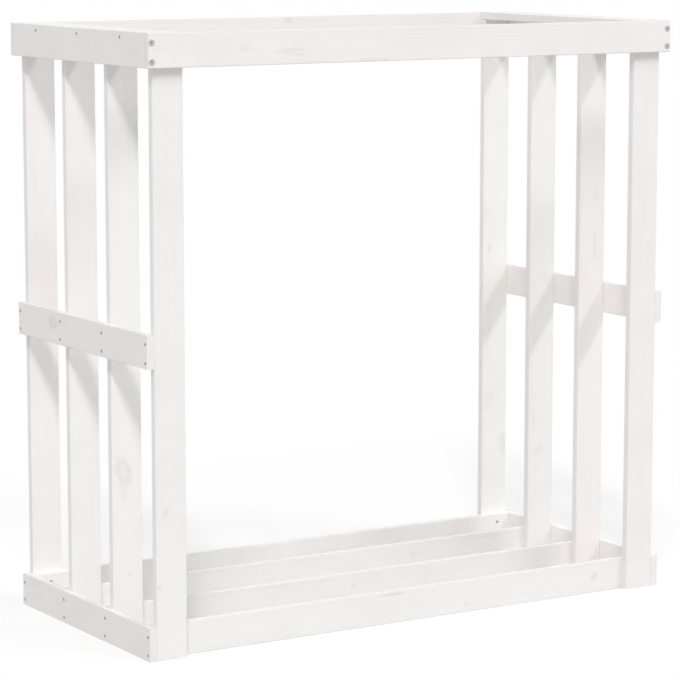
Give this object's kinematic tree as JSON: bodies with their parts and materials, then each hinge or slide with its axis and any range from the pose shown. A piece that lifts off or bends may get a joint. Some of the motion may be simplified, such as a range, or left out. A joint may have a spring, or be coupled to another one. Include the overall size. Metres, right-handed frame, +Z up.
{
  "type": "log store",
  "caption": "Open white painted pine rack for stacking firewood: slatted side frames joined by long boards on edge at the bottom and long boards round the top.",
  "frame": {"origin": "on the floor, below the middle of the rack", "axes": "+X to the right seen from the front, +Y to the back, +Z up"},
  "size_m": [1.08, 0.52, 1.06],
  "materials": {
    "painted_pine": "white satin paint over planed pine, faint grain and knots",
    "nail_steel": "dull bright steel",
    "screw_steel": "zinc plated"
  },
  "bodies": {
    "root": {"left_front_slat": "painted_pine", "left_mid_front_slat": "painted_pine", "left_mid_rear_slat": "painted_pine", "left_rear_slat": "painted_pine", "right_front_slat": "painted_pine", "right_mid_front_slat": "painted_pine", "right_mid_rear_slat": "painted_pine", "right_rear_slat": "painted_pine", "left_end_rail": "painted_pine", "right_end_rail": "painted_pine", "left_mid_rail": "painted_pine", "right_mid_rail": "painted_pine", "left_side_board": "painted_pine", "right_side_board": "painted_pine", "left_top_batten": "painted_pine", "right_top_batten": "painted_pine", "front_rail": "painted_pine", "mid_front_rail": "painted_pine", "mid_rear_rail": "painted_pine", "rear_rail": "painted_pine", "front_top_board": "painted_pine", "rear_top_board": "painted_pine", "left_end_rail_nails": "nail_steel", "right_end_rail_nails": "nail_steel", "left_mid_rail_nails": "nail_steel", "right_mid_rail_nails": "nail_steel", "left_side_board_nails": "nail_steel", "right_side_board_nails": "nail_steel", "left_batten_nails": "nail_steel", "right_batten_nails": "nail_steel", "front_corner_screws": "screw_steel", "rear_corner_screws": "screw_steel", "front_rail_screws": "screw_steel", "mid_front_rail_screws": "screw_steel", "mid_rear_rail_screws": "screw_steel", "rear_rail_screws": "screw_steel"}
  },
  "joints": []
}
